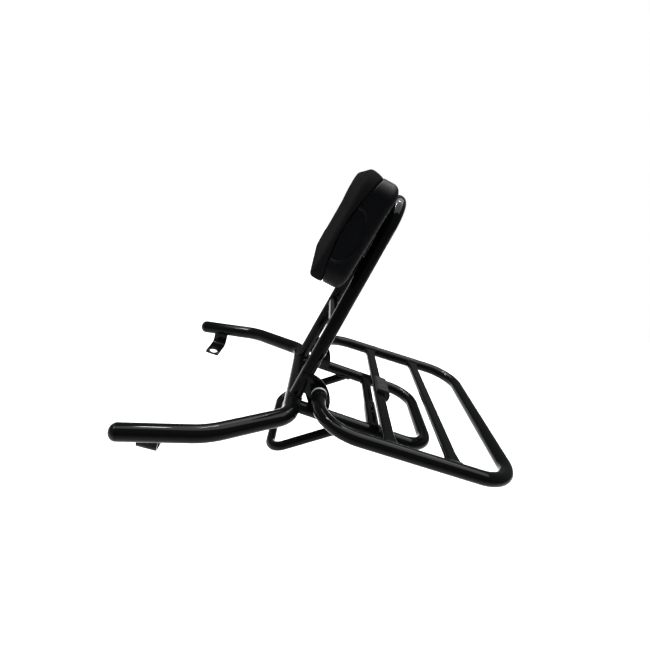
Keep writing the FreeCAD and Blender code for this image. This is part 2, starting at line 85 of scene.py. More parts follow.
class RackSizes(bpy.types.PropertyGroup):
    """Sizes that a user would change."""

    main_tube: FloatProperty(name="Main tube", description="Outer diameter of the arms and main bar",
                             default=0.020, unit="LENGTH")
    frame_tube: FloatProperty(name="Frame tube", description="Outer diameter of hoop, loop and rack tubes",
                              default=0.016, unit="LENGTH")
    cross_tube: FloatProperty(name="Cross tube", description="Outer diameter of the round cross tubes",
                              default=0.0135, unit="LENGTH")
    brace_tube: FloatProperty(name="Bracket tube", description="Outer diameter of the lower bracket",
                              default=0.012, unit="LENGTH")
    bead: FloatProperty(name="Weld bead", description="Radius of a weld bead", default=0.0019, unit="LENGTH")
    ripple: FloatProperty(name="Weld ripple", description="Distance between two ripples of a weld bead",
                          default=0.0022, unit="LENGTH")
    edge: FloatProperty(name="Edge rounding", description="Rounding of cut plate edges", default=0.0005,
                        unit="LENGTH")
    crown: FloatProperty(name="Cushion crown", description="How far the middle of the cushion stands forward",
                         default=0.0012, unit="LENGTH")
    swell: FloatProperty(name="Cushion swell", description="The most that the cover may swell",
                         default=0.005, unit="LENGTH")
    sides: IntProperty(name="Tube sides", description="Faces round a tube", default=48, min=12, max=96)


class RackFinish(bpy.types.PropertyGroup):
    """Colours that a user would change."""

    paint: FloatVectorProperty(name="Paint", description="Colour of the painted tubes", subtype="COLOR",
                               default=linear("#070808"))
    cover: FloatVectorProperty(name="Cover", description="Colour of the cushion's leathercloth",
                               subtype="COLOR", default=linear("#171717"))
    shell: FloatVectorProperty(name="Shell", description="Colour of the moulded shell", subtype="COLOR",
                               default=linear("#06070a"))
    rubber: FloatVectorProperty(name="Rubber", description="Colour of the buffer", subtype="COLOR",
                                default=linear("#161616"))
    steel: FloatVectorProperty(name="Steel", description="Colour of the zinc plated steel", subtype="COLOR",
                               default=linear("#e6e8ea"))
    screws: FloatVectorProperty(name="Screws", description="Colour of the phosphated pad screws",
                                subtype="COLOR", default=linear("#3a3a3a"))
    floor: FloatVectorProperty(name="Floor", description="Colour of the studio floor", subtype="COLOR",
                               default=linear("#f6f6f6"))


# Places

def at_hinge(back, y, rise):
    """A point given in millimetres from the hinge axis."""
    return Vector((HINGE_X + back, y, HINGE_Z + rise)) * MM


def at_loop(back, y):
    """A point on the plane of the support loop."""
    share = (back - CROSS_BACK) / (LOOP_END_BACK - CROSS_BACK)
    return at_hinge(back, y, CROSS_DROP + share * (LOOP_END_DROP - CROSS_DROP))


def lean_point(height, depth, y):
    """A point in the leaning hoop: height up the legs, depth behind their axis."""
    back = CROSS_BACK + height * math.sin(HOOP_LEAN) + depth * math.cos(HOOP_LEAN)
    rise = CROSS_DROP + height * math.cos(HOOP_LEAN) - depth * math.sin(HOOP_LEAN)
    return at_hinge(back, y, rise)


LEAN_UP = Vector((math.sin(HOOP_LEAN), 0, math.cos(HOOP_LEAN)))
LEAN_BACK = Vector((math.cos(HOOP_LEAN), 0, -math.sin(HOOP_LEAN)))


def in_lean(spot):
    """Height and depth in the leaning hoop of a point."""
    away = (spot - at_hinge(CROSS_BACK, 0, CROSS_DROP)) / MM
    return away.dot(LEAN_UP), away.dot(LEAN_BACK)


def leg_y(height):
    """Half the distance between the hoop legs at a height."""
    return HOOP_FOOT_Y + (HOOP_TOP_Y - HOOP_FOOT_Y) * height / HOOP_HEIGHT


def tab_spot(x, y, rise):
    """A point of the left mounting tab, given in its own square frame round the hole."""
    across = y * math.cos(TAB_SLOPE) + rise * math.sin(TAB_SLOPE)
    up = rise * math.cos(TAB_SLOPE) - y * math.sin(TAB_SLOPE)
    return Vector((x * math.cos(TAB_TURN) - across * math.sin(TAB_TURN),
                   x * math.sin(TAB_TURN) + across * math.cos(TAB_TURN) - TAB_HOLE_Y, up))


def smooth_step(value):
    """Eases from 0 to 1."""
    value = min(1.0, max(0.0, value))
    return value * value * (3 - 2 * value)


def through(points, value):
    """The parabola through three (place, size) pairs."""
    (a, fa), (b, fb), (c, fc) = points
    return (fa * (value - b) * (value - c) / ((a - b) * (a - c))
            + fb * (value - a) * (value - c) / ((b - a) * (b - c))
            + fc * (value - a) * (value - b) / ((c - a) * (c - b)))


def seam_depth(height):
    """Depth of the seam between cushion and shell."""
    return through(((152.8, -39.4), (200.0, -47.6), (267.8, -34.5)), height)


def front_depth(height):
    """Depth of the cushion's front."""
    return through(((152.8, -56.6), (215.0, -53.6), (267.8, -52.4)), height)


def rear_depth(height):
    """Depth of the shell's rear."""
    return -19.5 + 4.5 * (height - PAD_LOW) / (PAD_HIGH - PAD_LOW)


# Materials. Specular levels are set below those of the real finishes, so that the blacks stay deep

def add(tree, kind, settings=None, values=None, links=None):
    """Adds a shader node with its settings, input values and links."""
    made = tree.nodes.new(kind)
    for name, value in (settings or {}).items():
        setattr(made, name, value)
    for name, value in (values or {}).items():
        made.inputs[name].default_value = value
    for name, source in (links or {}).items():
        tree.links.new(source, made.inputs[name])
    return made


def start_material(name, colour, roughness, values=None):
    """A material with a principled shader; returns material, tree, shader and object coordinates."""
    material = bpy.data.materials.new(name)
    material.use_nodes = True
    tree = material.node_tree
    shader = tree.nodes["Principled BSDF"]
    shader.inputs["Base Color"].default_value = (*colour, 1.0)
    shader.inputs["Roughness"].default_value = roughness
    for key, value in (values or {}).items():
        shader.inputs[key].default_value = value
    place = add(tree, "ShaderNodeTexCoord").outputs["Object"]
    return material, tree, shader, place


def speckle(tree, place, size_mm, detail):
    """Noise whose blobs are about a size across."""
    return add(tree, "ShaderNodeTexNoise", values={"Scale": 1 / (size_mm * MM), "Detail": detail},
               links={"Vector": place}).outputs["Fac"]


def spread(tree, source, low, high):
    """Turns noise into values between two limits."""
    return add(tree, "ShaderNodeMapRange",
               values={"From Min": 0.3, "From Max": 0.7, "To Min": low, "To Max": high},
               links={"Value": source}).outputs["Result"]


def bump(tree, shader, height, depth_mm, strength):
    """Gives a shader a relief of real depth."""
    made = add(tree, "ShaderNodeBump", values={"Strength": strength, "Distance": depth_mm * MM},
               links={"Height": height})
    tree.links.new(made.outputs["Normal"], shader.inputs["Normal"])


def black_stove_enamel(colour):
    """Stove enamelled steel tube: deep black under a hard clear gloss, long mirror streaks, a faint orange
    peel that frays them, and a few dull handling marks."""
    material, tree, shader, place = start_material(
        "black_stove_enamel", colour, 0.12, {"IOR": 1.45, "Specular IOR Level": 0.13})
    marks = speckle(tree, place, 14.0, 5.0)
    tree.links.new(spread(tree, marks, 0.035, 0.1), shader.inputs["Roughness"])
    peel = speckle(tree, place, 3.4, 1.0)
    bump(tree, shader, peel, 0.012, 0.3)
    return material


def black_plug_plastic(colour):
    """Injection moulded polyethylene plug: black, softer gloss than the paint."""
    material, tree, shader, place = start_material("black_plug_plastic", colour, 0.3,
                                                   {"IOR": 1.5, "Specular IOR Level": 0.2})
    tree.links.new(spread(tree, speckle(tree, place, 9.0, 4.0), 0.24, 0.36), shader.inputs["Roughness"])
    return material


def black_leathercloth(colour):
    """Vinyl leathercloth over foam: near black and so matte that it mirrors nothing, with a pebbled grain of
    about a millimetre that breaks the light."""
    material, tree, shader, place = start_material(
        "black_leathercloth", colour, 0.6, {"IOR": 1.45, "Specular IOR Level": 0.0})
    cells = add(tree, "ShaderNodeTexVoronoi", {"feature": "SMOOTH_F1"},
                {"Scale": 1 / (1.3 * MM), "Smoothness": 0.6}, {"Vector": place}).outputs["Distance"]
    soft = speckle(tree, place, 22.0, 3.0)
    tree.links.new(spread(tree, soft, 0.5, 0.66), shader.inputs["Roughness"])
    bump(tree, shader, cells, 0.16, 0.6)
    return material


def black_moulded_shell(colour):
    """Injection moulded polypropylene with a spark-eroded texture: cool black, satin, a fine even grain
    drawn at 0.8 mm, coarser than the real one so that it shows."""
    material, tree, shader, place = start_material("black_moulded_shell", colour, 0.46,
                                                   {"IOR": 1.49, "Specular IOR Level": 0.08})
    grain = speckle(tree, place, 0.8, 2.0)
    tree.links.new(spread(tree, speckle(tree, place, 26.0, 3.0), 0.4, 0.52), shader.inputs["Roughness"])
    bump(tree, shader, grain, 0.05, 0.4)
    return material


def moulded_rubber(colour):
    """Moulded EPDM rubber: matte charcoal with a dusty bloom."""
    material, tree, shader, place = start_material("moulded_rubber", colour, 0.7,
                                                   {"IOR": 1.5, "Specular IOR Level": 0.3})
    bloom = speckle(tree, place, 7.0, 6.0)
    tree.links.new(spread(tree, bloom, 0.6, 0.8), shader.inputs["Roughness"])
    bump(tree, shader, speckle(tree, place, 0.9, 3.0), 0.06, 0.5)
    return material


def zinc_plated_steel(colour):
    """Zinc plated steel: light grey metal with a slightly cloudy, satin face."""
    material, tree, shader, place = start_material("zinc_plated_steel", colour, 0.5, {"Metallic": 0.6})
    tree.links.new(spread(tree, speckle(tree, place, 3.0, 5.0), 0.42, 0.6), shader.inputs["Roughness"])
    bump(tree, shader, speckle(tree, place, 0.7, 2.0), 0.02, 0.3)
    return material


def black_phosphated_steel(colour):
    """Phosphated screw: dark grey, satin."""
    material, tree, shader, place = start_material("black_phosphated_steel", colour, 0.42,
                                                   {"Metallic": 0.6})
    tree.links.new(spread(tree, speckle(tree, place, 2.0, 4.0), 0.36, 0.5), shader.inputs["Roughness"])
    return material


def by_camera(tree, unseen, seen):
    """One value for what the camera sees and another for the light that falls on the rack."""
    camera_ray = add(tree, "ShaderNodeLightPath").outputs["Is Camera Ray"]
    return add(tree, "ShaderNodeMapRange", values={"To Min": unseen, "To Max": seen},
               links={"Value": camera_ray}).outputs["Result"]


def studio_paper(colour):
    """Seamless matte paper, which shows whiter than it lights the rack, so that the blacks stay deep."""
    material, tree, shader, _ = start_material("studio_paper", colour, 0.9,
                                               {"Emission Color": (1.0, 1.0, 1.0, 1.0)})
    tree.links.new(by_camera(tree, 0.0, 0.35), shader.inputs["Emission Strength"])
    return material


def white_backdrop():
    """A white world that lights the rack with a fifth of what the camera sees."""
    world = bpy.data.worlds.new("studio")
    world.use_nodes = True
    tree = world.node_tree
    backdrop = tree.nodes["Background"]
    backdrop.inputs["Color"].default_value = (1.0, 1.0, 1.0, 1.0)
    tree.links.new(by_camera(tree, 0.2, 1.0), backdrop.inputs["Strength"])
    return world


def dressed(name):
    """The material of that name."""
    return bpy.data.materials[name]


# Mesh helpers

def ring_of(bm, centre, way, radius, sides):
    """An open ring of edges round a line."""
    turn = way.to_track_quat("Z", "Y").to_matrix().to_4x4()
    made = bmesh.ops.create_circle(bm, cap_ends=False, segments=sides, radius=radius,
                                   matrix=Matrix.Translation(centre) @ turn)
    return list({edge for vert in made["verts"] for edge in vert.link_edges})


def rim(geometry):
    """The edges of a swept or extruded result whose two ends both belong to it."""
    verts = {item for item in geometry if isinstance(item, bmesh.types.BMVert)}
    return [item for item in geometry
            if isinstance(item, bmesh.types.BMEdge) and all(vert in verts for vert in item.verts)]


def run(bm, edges, move):
    """Carries a ring straight on and returns the new ring."""
    made = bmesh.ops.extrude_edge_only(bm, edges=edges)["geom"]
    verts = [item for item in made if isinstance(item, bmesh.types.BMVert)]
    bmesh.ops.translate(bm, verts=verts, vec=move)
    return rim(made)


def turn_ring(bm, edges, centre, axis, angle):
    """Carries a ring round a bend and returns the new ring."""
    verts = list({vert for edge in edges for vert in edge.verts})
    steps = max(4, math.ceil(math.degrees(angle) / 3))
    made = bmesh.ops.spin(bm, geom=verts + edges, cent=centre, axis=axis, dvec=(0, 0, 0), angle=angle,
                          steps=steps, use_merge=False, use_normal_flip=False, use_duplicate=False)
    return rim(made["geom_last"])


def bent_tube(bm, points, radii, diameter, sides):
    """A round tube through the points, bent at each inner point."""
    ring = ring_of(bm, points[0], (points[1] - points[0]).normalized(), diameter / 2, sides)
    bmesh.ops.contextual_create(bm, geom=ring)
    here = points[0]
    for index, radius in enumerate(radii):
        corner = points[index + 1]
        inward = (points[index] - corner).normalized()
        outward = (points[index + 2] - corner).normalized()
        half = inward.angle(outward) / 2
        trim = radius * MM / math.tan(half)
        first, last = corner + inward * trim, corner + outward * trim
        ring = run(bm, ring, first - here)
        centre = corner + (inward + outward).normalized() * (radius * MM / math.sin(half))
        axis = (first - centre).cross(last - centre).normalized()
        ring = turn_ring(bm, ring, centre, axis, math.pi - 2 * half)
        here = last
    ring = run(bm, ring, points[-1] - here)
    bmesh.ops.contextual_create(bm, geom=ring)


def wrapped_sheet(bm, across, along, place):
    """A grid laid on a surface; place takes two shares from 0 to 1."""
    made = bmesh.ops.create_grid(bm, x_segments=across, y_segments=along, size=0.5)
    for vert in made["verts"]:
        vert.co = place(vert.co.x + 0.5, vert.co.y + 0.5)
    return made["verts"]


def finish_piece(bm, name, body, slot, material, nodes=(), sharp=35.0):
    """Turns a bmesh into a piece that rides on a body and stands for CAD nodes."""
    bmesh.ops.recalc_face_normals(bm, faces=bm.faces)
    mesh = bpy.data.meshes.new(name)
    bm.to_mesh(mesh)
    bm.free()
    mesh.shade_smooth()
    mesh.set_sharp_from_angle(angle=math.radians(sharp))
    mesh.materials.append(dressed(material))
    piece = bpy.data.objects.new(name, mesh)
    bpy.context.scene.collection.objects.link(piece)
    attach(piece, body)
    if nodes:
        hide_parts(*nodes)
    return piece


def softened(bm, node, width, segments=2, edge_angle=30.0):
    """Copies a CAD node into a bmesh, merges it and rounds its sharp edges."""
    own = bmesh.new()
    own.from_mesh(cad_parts[node].data)
    bmesh.ops.remove_doubles(own, verts=own.verts, dist=0.00002)
    bmesh.ops.dissolve_limit(own, angle_limit=math.radians(1.0), verts=own.verts, edges=own.edges)
    limit = math.radians(edge_angle)
    sharp = [edge for edge in own.edges if edge.is_manifold and edge.calc_face_angle(0.0) > limit]
    bmesh.ops.bevel(own, geom=sharp, offset=width, offset_type="OFFSET", affect="EDGES", segments=segments,
                    profile=0.5, material=-1, clamp_overlap=True)
    mesh = bpy.data.meshes.new("copy")
    own.to_mesh(mesh)
    own.free()
    bm.from_mesh(mesh)
    bpy.data.meshes.remove(mesh)


# Weld beads

def bead(bm, path, length, sizes, closed):
    """A rippled weld bead along a path given by a share from 0 to 1."""
    ripples = max(3, round(length / sizes.ripple))
    steps, sides = ripples * 6, 9
    nudge = 0.5 / steps
    wave_depth, uneven_depth, unevenness = 0.13, 0.12, 160
    askew = Vector((0.31, 0.52, 0.79))

    def place(share, turn):
        ahead = path((share + nudge) % 1 if closed else min(1.0, share + nudge))
        behind = path((share - nudge) % 1 if closed else max(0.0, share - nudge))
        along = (ahead - behind).normalized()
        side = along.cross(askew).normalized()
        up = along.cross(side)
        here = path(share % 1 if closed else share)
        wave = 1 + wave_depth * math.cos(2 * math.pi * ripples * share)
        uneven = 1 + uneven_depth * noise.noise(here * unevenness)
        # An open bead thins out at its two ends
        taper = 1.0 if closed else math.sqrt(max(0.04, math.sin(math.pi * min(1, max(0, share)))))
        size = sizes.bead * wave * uneven * min(1.0, taper * 1.3)
        angle = 2 * math.pi * turn
        return here + (side * math.cos(angle) + up * math.sin(angle)) * size

    verts = wrapped_sheet(bm, steps, sides, place)
    bmesh.ops.remove_doubles(bm, verts=verts, dist=0.00001)


def meeting_line(start, way, section, axis_point, axis, radius):
    """Path round a bar where it meets a round tube; section gives the bar's outline offset."""
    def path(share):
        spot = start + section(share)
        across = spot - axis_point
        a = way - axis * way.dot(axis)
        b = across - axis * across.dot(axis)
        qa, qb, qc = a.dot(a), 2 * a.dot(b), b.dot(b) - radius * radius
        root = math.sqrt(max(0.0, qb * qb - 4 * qa * qc))
        return spot + way * ((-qb - root) / (2 * qa))
    return path


def round_section(way, radius):
    """Outline offsets of a round bar."""
    side = way.cross(Vector((0.2, 0.9, 0.35))).normalized()
    up = way.cross(side)
    return lambda share: (side * math.cos(2 * math.pi * share) + up * math.sin(2 * math.pi * share)) * radius


def outline_spot(share, half_wide, half_high, corner):
    """Where a share of the way round a rounded rectangle falls: quarter, straight or bend, and how far."""
    flats = (half_high - corner, half_wide - corner) * 2
    arc = math.pi / 2 * corner
    left = share % 1.0 * (2 * sum(flats) + 4 * arc)
    for quarter, flat in enumerate(flats):
        if left < 2 * flat:
            return quarter, False, left / (2 * flat)
        left -= 2 * flat
        if left < arc:
            return quarter, True, left / arc
        left -= arc
    return 3, True, 1.0


def outline_point(spot, half_wide, half_high, corner):
    """The point of a rounded rectangle at such a spot."""
    quarter, on_bend, local = spot
    wide, high = half_wide - corner, half_high - corner
    centres = ((wide, high), (-wide, high), (-wide, -high), (wide, -high))
    angle = quarter * math.pi / 2
    if on_bend:
        angle += local * math.pi / 2
        middle = centres[quarter]
        return middle[0] + corner * math.cos(angle), middle[1] + corner * math.sin(angle)
    before, after = centres[quarter - 1], centres[quarter]
    return (before[0] + (after[0] - before[0]) * local + corner * math.cos(angle),
            before[1] + (after[1] - before[1]) * local + corner * math.sin(angle))


# Carrier pieces

HOOP = [lean_point(0, 0, -HOOP_FOOT_Y), lean_point(HOOP_HEIGHT, 0, -HOOP_TOP_Y),
        lean_point(HOOP_HEIGHT, 0, HOOP_TOP_Y), lean_point(0, 0, HOOP_FOOT_Y)]
HOOP_BEND, LOOP_BEND, BRACKET_BEND = 31.5, 33.0, 21.0
LOOP_Y = 72.0
LOOP_CROSS_BACK = 77.0
BRACKET_Y = 70.4
BRACKET_FRONT = (-36.8, -94.5)
BRACKET_SLOPE = math.radians(38.7)
BRACKET_TOP_BACK = BRACKET_FRONT[0] + (CROSS_DROP - BRACKET_FRONT[1]) / math.tan(BRACKET_SLOPE)
CROSS_HEIGHT = 106.6
SLEEVE_END_Y, SLEEVE_WALL = 8.4, 1.5


class RACK_OT_materials(bpy.types.Operator):
    """Make the materials of the rack"""

    bl_idname = "rack.materials"
    bl_label = "Rack materials"

    def execute(self, context):
        finish = context.scene.rack_finish
        black_stove_enamel(finish.paint)
        black_plug_plastic(finish.paint)
        black_leathercloth(finish.cover)
        black_moulded_shell(finish.shell)
        moulded_rubber(finish.rubber)
        zinc_plated_steel(finish.steel)
        black_phosphated_steel(finish.screws)
        return {"FINISHED"}


class RACK_OT_main_bar(bpy.types.Operator):
    """Bend the main bar with its two arms and put in the domed plugs"""

    bl_idname = "rack.main_bar"
    bl_label = "Main bar and arm plugs"

    def execute(self, context):
        sizes = context.scene.rack_sizes
        corner_y, corner_r, arm_bend_r = 98.7, 27.0, 74.0
        left_tip, left_bend = (at_hinge(back, -half, rise) for back, rise, half in (ARM_TIP, ARM_BEND))
        way = (left_tip - left_bend).normalized()
        dome, skirt_depth = 8.4 * MM, 4.0 * MM
        dome_fit, skirt_fit = 0.995, 0.8
        left_end = left_tip - way * dome
        flip = Vector((1, -1, 1))
        points = [left_end, left_bend, at_hinge(CROSS_BACK, -corner_y, CROSS_DROP),
                  at_hinge(CROSS_BACK, corner_y, CROSS_DROP), left_bend * flip, left_end * flip]
        bm = bmesh.new()
        bent_tube(bm, points, (arm_bend_r, corner_r, corner_r, arm_bend_r), sizes.main_tube, sizes.sides)
        finish_piece(bm, "main_bar_tube", "carrier", "gloss_black_paint", "black_stove_enamel", ["main_bar"])
        for side, mirror in (("left", 1), ("right", -1)):
            bm = bmesh.new()
            ball = bmesh.ops.create_uvsphere(bm, u_segments=sizes.sides, v_segments=24,
                                             radius=sizes.main_tube / 2)
            bmesh.ops.bisect_plane(bm, geom=bm.verts[:] + bm.edges[:] + bm.faces[:], plane_co=(0, 0, 0),
                                   plane_no=(0, 0, 1), clear_inner=True)
            bmesh.ops.scale(bm, verts=bm.verts, vec=(dome_fit, dome_fit, dome / (sizes.main_tube / 2)))
            rim_edges = [edge for edge in bm.edges if edge.is_boundary]
            skirt = run(bm, rim_edges, Vector((0, 0, -skirt_depth)))
            bmesh.ops.scale(bm, verts=list({vert for edge in skirt for vert in edge.verts}),
                            vec=(skirt_fit, skirt_fit, 1.0))
            bmesh.ops.contextual_create(bm, geom=skirt)
            heading = Vector((way.x, way.y * mirror, way.z))
            place = Vector((left_end.x, left_end.y * mirror, left_end.z))
            turn = heading.to_track_quat("Z", "Y").to_matrix().to_4x4()
            bmesh.ops.transform(bm, matrix=Matrix.Translation(place) @ turn, verts=bm.verts)
            finish_piece(bm, f"arm_plug_{side}", "carrier", "black_cap", "black_plug_plastic",
                         [f"arm_cap_{side}"])
        return {"FINISHED"}


class RACK_OT_carrier_tubes(bpy.types.Operator):
    """Bend the hoop, support loop, cross tubes and lower bracket"""

    bl_idname = "rack.carrier_tubes"
    bl_label = "Hoop, loop and bracket"

    def execute(self, context):
        sizes = context.scene.rack_sizes
        paint = ("carrier", "gloss_black_paint", "black_stove_enamel")
        bm = bmesh.new()
        bent_tube(bm, HOOP, (HOOP_BEND, HOOP_BEND), sizes.frame_tube, sizes.sides)
        finish_piece(bm, "hoop_tube", *paint, ["backrest_hoop"])
        bm = bmesh.new()
        reach = leg_y(CROSS_HEIGHT)
        bent_tube(bm, [lean_point(CROSS_HEIGHT, 0, -reach), lean_point(CROSS_HEIGHT, 0, reach)], (),
                  sizes.cross_tube, sizes.sides)
        finish_piece(bm, "hoop_cross_tube", *paint, ["backrest_cross_tube"])
        bm = bmesh.new()
        bent_tube(bm, [at_loop(CROSS_BACK, -LOOP_Y), at_loop(LOOP_END_BACK, -LOOP_Y),
                       at_loop(LOOP_END_BACK, LOOP_Y), at_loop(CROSS_BACK, LOOP_Y)],
                  (LOOP_BEND, LOOP_BEND), sizes.frame_tube, sizes.sides)
        finish_piece(bm, "support_loop_tube", *paint, ["support_loop"])
        bm = bmesh.new()
        ends = at_loop(LOOP_CROSS_BACK, -LOOP_Y), at_loop(LOOP_CROSS_BACK, LOOP_Y)
        bent_tube(bm, list(ends), (), sizes.cross_tube, sizes.sides)
        finish_piece(bm, "loop_cross_bar", *paint, ["loop_cross_tube"])
        bm = bmesh.new()
        sleeve_end = at_loop(LOOP_CROSS_BACK, -SLEEVE_END_Y)
        bent_tube(bm, [ends[0], sleeve_end], (), sizes.cross_tube + 2 * SLEEVE_WALL * MM, sizes.sides)
        last = [edge for edge in bm.edges if edge.calc_face_angle(0.0) > 1 and
                all(abs(vert.co.y - sleeve_end.y) < 1e-6 for vert in edge.verts)]
        bmesh.ops.bevel(bm, geom=last, offset=0.8 * MM, offset_type="OFFSET", affect="EDGES", segments=3,
                        profile=0.5, material=-1)
        finish_piece(bm, "loop_cross_sleeve", *paint, ["loop_sleeve"])
        bm = bmesh.new()
        bent_tube(bm, [at_hinge(BRACKET_TOP_BACK, -BRACKET_Y, CROSS_DROP),
                       at_hinge(BRACKET_FRONT[0], -BRACKET_Y, BRACKET_FRONT[1]),
                       at_hinge(BRACKET_FRONT[0], BRACKET_Y, BRACKET_FRONT[1]),
                       at_hinge(BRACKET_TOP_BACK, BRACKET_Y, CROSS_DROP)],
                  (BRACKET_BEND, BRACKET_BEND), sizes.brace_tube, sizes.sides)
        finish_piece(bm, "lower_bracket_tube", *paint, ["lower_bracket"])
        return {"FINISHED"}


class RACK_OT_plates(bpy.types.Operator):
    """Round the edges of the tabs, hinge plates and pad straps"""

    bl_idname = "rack.plates"
    bl_label = "Tabs, plates and straps"

    def execute(self, context):
        sizes = context.scene.rack_sizes
        for node in ("mounting_tab_left", "mounting_tab_right", "hinge_plate_left", "hinge_plate_right",
                     "pad_strap_lower", "pad_strap_upper"):
            bm = bmesh.new()
            softened(bm, node, sizes.edge)
            finish_piece(bm, node + "_plate", "carrier", "gloss_black_paint", "black_stove_enamel", [node])
        return {"FINISHED"}


class RACK_OT_hardware(bpy.types.Operator):
    """Dress the pivots, washers, collars and screws"""

    bl_idname = "rack.hardware"
    bl_label = "Pivots and screws"

    def execute(self, context):
        steel = ("bright_steel", "zinc_plated_steel")
        screw = ("black_screw", "black_phosphated_steel")
        paint = ("gloss_black_paint", "black_stove_enamel")
        for node, body, (slot, material), width in (
                ("hinge_washer_left", "rack", steel, 0.0004), ("hinge_washer_right", "rack", steel, 0.0004),
                ("hinge_bolt_left", "rack", steel, 0.0004), ("hinge_bolt_right", "rack", steel, 0.0004),
                ("hinge_collar_left", "rack", paint, 0.0006), ("hinge_collar_right", "rack", paint, 0.0006),
                ("buffer_screws", "rack", steel, 0.0003), ("pad_screws", "carrier", screw, 0.0005)):
            bm = bmesh.new()
            softened(bm, node, width, 3)
            finish_piece(bm, node + "_rounded", body, slot, material, [node])
        for node, material in (("rack_end_plug_left", "zinc_plated_steel"),
                               ("rack_end_plug_right", "zinc_plated_steel"),
                               ("hinge_bush_left", "black_plug_plastic"),
                               ("hinge_bush_right", "black_plug_plastic")):
            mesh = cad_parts[node].data
            mesh.materials.clear()
            mesh.materials.append(dressed(material))
        return {"FINISHED"}


class RACK_OT_rack(bpy.types.Operator):
    """Bend the folding rack and flatten its crossbars"""

    bl_idname = "rack.folding_rack"
    bl_label = "Folding rack"

    def execute(self, context):
        sizes = context.scene.rack_sizes
        end_back, pivot_bend, rear_bend = 222.3, 47.0, 41.0
        flare_start, flare_run = 108.0, 22.0
        bm = bmesh.new()
        bent_tube(bm, [at_hinge(0, -TUBE_END_Y, 0), at_hinge(0, -RACK_Y, 0), at_hinge(end_back, -RACK_Y, 0),
                       at_hinge(end_back, RACK_Y, 0), at_hinge(0, RACK_Y, 0), at_hinge(0, TUBE_END_Y, 0)],
                  (pivot_bend, rear_bend, rear_bend, pivot_bend), sizes.frame_tube, sizes.sides)
        finish_piece(bm, "rack_tube", "rack", "gloss_black_paint", "black_stove_enamel", ["rack_frame"])
        for name, back in CROSSBARS.items():
            bm = bmesh.new()

            def skin(round_share, along_share):
                y = (along_share * 2 - 1) * RACK_Y
                flare = smooth_step((abs(y) - flare_start) / flare_run)
                halves = [middle + (end - middle) * flare for middle, end in zip(BAR_MIDDLE, BAR_END)]
                spot = outline_spot(round_share, *BAR_MIDDLE, BAR_CORNER)
                back_off, rise = outline_point(spot, *halves, BAR_CORNER)
                return at_hinge(back + back_off, y, rise)

            wrapped_sheet(bm, across=56, along=92, place=skin)
            bmesh.ops.remove_doubles(bm, verts=bm.verts, dist=0.00001)
            bmesh.ops.holes_fill(bm, edges=[edge for edge in bm.edges if edge.is_boundary], sides=0)
            finish_piece(bm, f"crossbar_{name}_flat", "rack", "gloss_black_paint", "black_stove_enamel",
                         [f"rack_crossbar_{name}"])
        return {"FINISHED"}


class RACK_OT_buffer(bpy.types.Operator):
    """Mould the rubber buffer on the front crossbar"""

    bl_idname = "rack.buffer"
    bl_label = "Rubber buffer"

    def execute(self, context):
        bm = bmesh.new()
        softened(bm, "rack_buffer", 0.0009, 3, 40.0)
        finish_piece(bm, "buffer_rubber_block", "rack", "buffer_rubber", "moulded_rubber", ["rack_buffer"])
        return {"FINISHED"}


